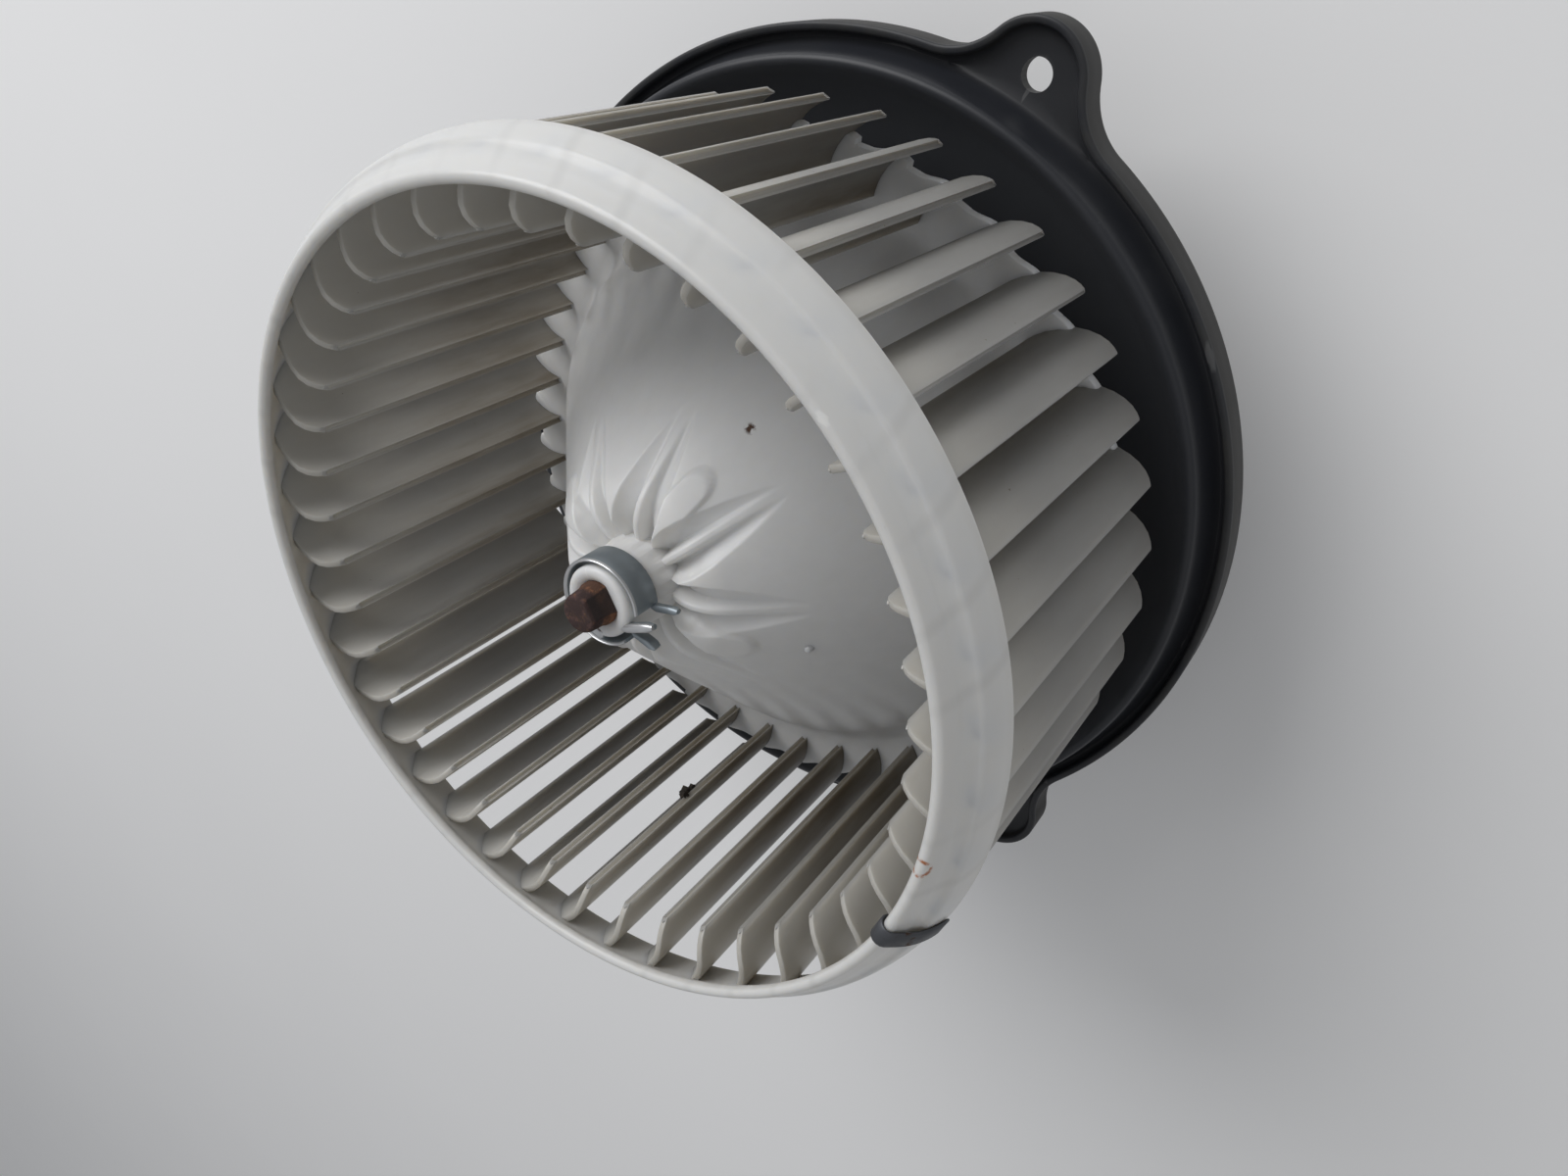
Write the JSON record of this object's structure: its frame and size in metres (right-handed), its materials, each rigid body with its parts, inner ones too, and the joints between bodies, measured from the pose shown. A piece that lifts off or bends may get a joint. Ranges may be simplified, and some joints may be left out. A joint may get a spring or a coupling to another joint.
{
  "type": "blower motor and fan wheel",
  "caption": "Centrifugal blower: a squirrel-cage wheel clipped to the shaft of a brushed motor in a round mounting flange with bolt ears.",
  "frame": {"origin": "centre of the ears' bolt circle, on the front face of the ears", "axes": "+Z along the motor shaft, towards the wheel's inlet; +X through the first ear's hole"},
  "size_m": [0.1806, 0.1692, 0.1315],
  "materials": {
    "wheel_plastic": "satin translucent moulding",
    "clip_steel": "dull blue-grey spring steel",
    "balance_steel": "dark phosphated steel",
    "shaft_steel": "rusty",
    "flange_plastic": "satin black with dust",
    "cover_plastic": "fine grained black",
    "zinc_steel": "zinc plated",
    "rubber_mount": "matt",
    "ferrite": "matt ceramic",
    "bronze": "sintered, oily",
    "brass_sheet": "stamped",
    "tinned_brass": "tin plated",
    "core_steel": "stacked laminations",
    "insulator": "fibre sheet",
    "enamelled_wire": "enamelled copper",
    "copper": "turned copper",
    "phenolic": "moulded",
    "nylon": "natural",
    "felt": "oiled felt",
    "lead_insulation": "soft",
    "carbon": "pressed carbon"
  },
  "bodies": {
    "housing": {"mounting_flange": "flange_plastic", "motor_cover": "cover_plastic", "cover_screws": "zinc_steel", "front_rubber_mount": "rubber_mount", "rear_rubber_mount": "rubber_mount", "motor_can": "zinc_steel", "can_end_plate": "zinc_steel", "field_magnets": "ferrite", "magnet_clips": "zinc_steel", "front_bearing": "bronze", "rear_bearing": "bronze", "bearing_retainers": "zinc_steel", "oil_felts": "felt", "brush_card": "phenolic", "brush_holders": "brass_sheet", "choke_coils": "enamelled_wire", "lead_wires": "lead_insulation", "terminal_pins": "tinned_brass", "brush_spring_a": "tinned_brass", "brush_spring_b": "tinned_brass"},
    "rotor": {"fan_wheel": "wheel_plastic", "hub_clip": "clip_steel", "balance_clip": "balance_steel", "motor_shaft": "shaft_steel", "armature_core": "core_steel", "core_insulators": "insulator", "armature_windings": "enamelled_wire", "commutator_hub": "phenolic", "commutator_bars": "copper", "thrust_washers": "nylon"},
    "first_brush": {"brush_a": "carbon"},
    "second_brush": {"brush_b": "carbon"}
  },
  "joints": [
    {"name": "rotor_spin", "type": "hinge", "parent": "housing", "child": "rotor", "pos_m": [0, 0, 0], "axis": [0, 0, 1], "continuous": true},
    {"name": "first_brush_slide", "type": "slide", "parent": "housing", "child": "first_brush", "axis": [1, 0, 0], "range_m": [0, 0.003], "stiffness_N_per_m": 300, "springref_m": -0.008, "deforming": ["brush_spring_a"]},
    {"name": "second_brush_slide", "type": "slide", "parent": "housing", "child": "second_brush", "axis": [-1, 0, 0], "range_m": [0, 0.003], "stiffness_N_per_m": 300, "springref_m": -0.008, "deforming": ["brush_spring_b"]}
  ]
}
